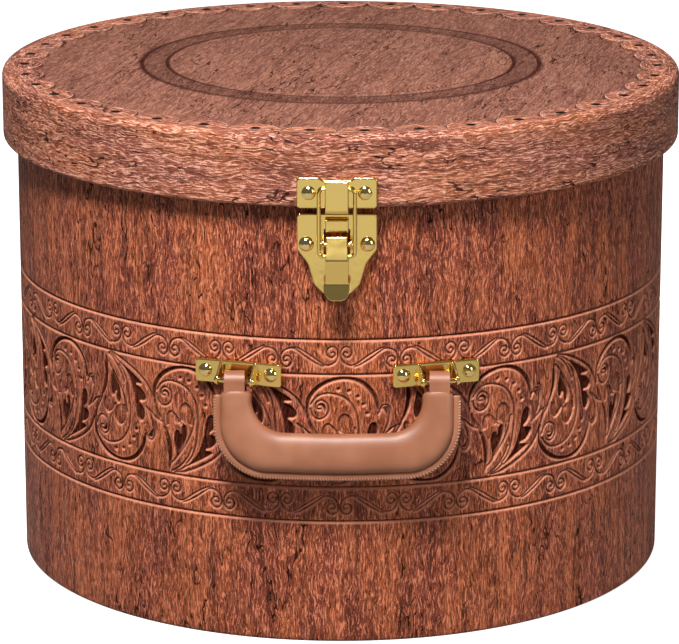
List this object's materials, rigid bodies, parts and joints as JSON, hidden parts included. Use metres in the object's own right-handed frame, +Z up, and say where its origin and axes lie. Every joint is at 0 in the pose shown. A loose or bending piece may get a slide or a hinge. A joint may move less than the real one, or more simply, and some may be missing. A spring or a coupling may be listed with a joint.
{
  "type": "hat box",
  "caption": "Round leather-covered hat box with a hinged lid, a draw latch at the front and a padded drop handle.",
  "frame": {"origin": "centre of the base, on the surface that the box stands on", "axes": "+Z up; -Y is the front, with the latch and the handle; the hinges are at +Y; +X is to the right as seen from the front"},
  "size_m": [0.4, 0.4126, 0.296],
  "materials": {
    "wall_leather": "embossed wood-grain faux leather",
    "lid_leather": "embossed wood-grain faux leather",
    "rim_leather": "embossed wood-grain faux leather",
    "handle_leather": "smooth faux leather",
    "board": "grey board",
    "lining": "suede cloth",
    "pad": "padded suede cloth",
    "core": "moulded",
    "latch_gold": "polished gold plate",
    "hinge_gold": "polished gold plate",
    "rivet_gold": "polished gold plate"
  },
  "bodies": {
    "case": {"base_board": "board", "base_cover": "wall_leather", "wall_hoop": "board", "wall_cover": "wall_leather", "wall_lining": "lining", "floor_pad": "pad", "latch_plate": "latch_gold", "latch_plate_rivets": "rivet_gold", "latch_lever_pin": "rivet_gold", "handle_bracket_left": "latch_gold", "handle_bracket_right": "latch_gold", "handle_pin_left": "rivet_gold", "handle_pin_right": "rivet_gold", "handle_rivets_left": "rivet_gold", "handle_rivets_right": "rivet_gold", "hinge_leaf_body_left": "hinge_gold", "hinge_leaf_body_right": "hinge_gold", "hinge_pin_left": "rivet_gold", "hinge_pin_right": "rivet_gold", "hinge_body_rivets": "rivet_gold", "body_rivet_washers": "rivet_gold"},
    "lid": {"lid_board": "board", "lid_hoop": "board", "lid_pad": "board", "lid_top_cover": "lid_leather", "lid_rim_cover": "rim_leather", "lid_lining": "lining", "lid_rim_lining": "lining", "latch_strike": "latch_gold", "latch_strike_rivets": "rivet_gold", "hinge_leaf_lid_left": "hinge_gold", "hinge_leaf_lid_right": "hinge_gold", "hinge_lid_rivets": "rivet_gold", "lid_rivet_washers": "rivet_gold"},
    "latch_lever": {"latch_lever": "latch_gold"},
    "latch_wire": {"latch_wire": "latch_gold"},
    "handle": {"handle_cover": "handle_leather", "handle_core": "core", "handle_tab_left": "handle_leather", "handle_tab_right": "handle_leather"}
  },
  "joints": [
    {"name": "lid_hinge", "type": "hinge", "parent": "case", "child": "lid", "pos_m": [0, 0.1976, 0.2508], "axis": [-1, 0, 0], "range_deg": [0, 100]},
    {"name": "latch_lever_hinge", "type": "hinge", "parent": "case", "child": "latch_lever", "pos_m": [0, -0.1985, 0.2332], "axis": [-1, 0, 0], "range_deg": [0, 90]},
    {"name": "latch_wire_hinge", "type": "hinge", "parent": "latch_lever", "child": "latch_wire", "pos_m": [0, -0.2038, 0.2279], "axis": [-1, 0, 0], "range_deg": [-90, 0]},
    {"name": "handle_hinge", "type": "hinge", "parent": "case", "child": "handle", "pos_m": [0, -0.19229, 0.1535], "axis": [-1, 0, 0], "range_deg": [0, 100]}
  ],
  "couplings": [
    {"joint": "latch_wire_hinge", "follows": "latch_lever_hinge", "ratio": -1}
  ]
}
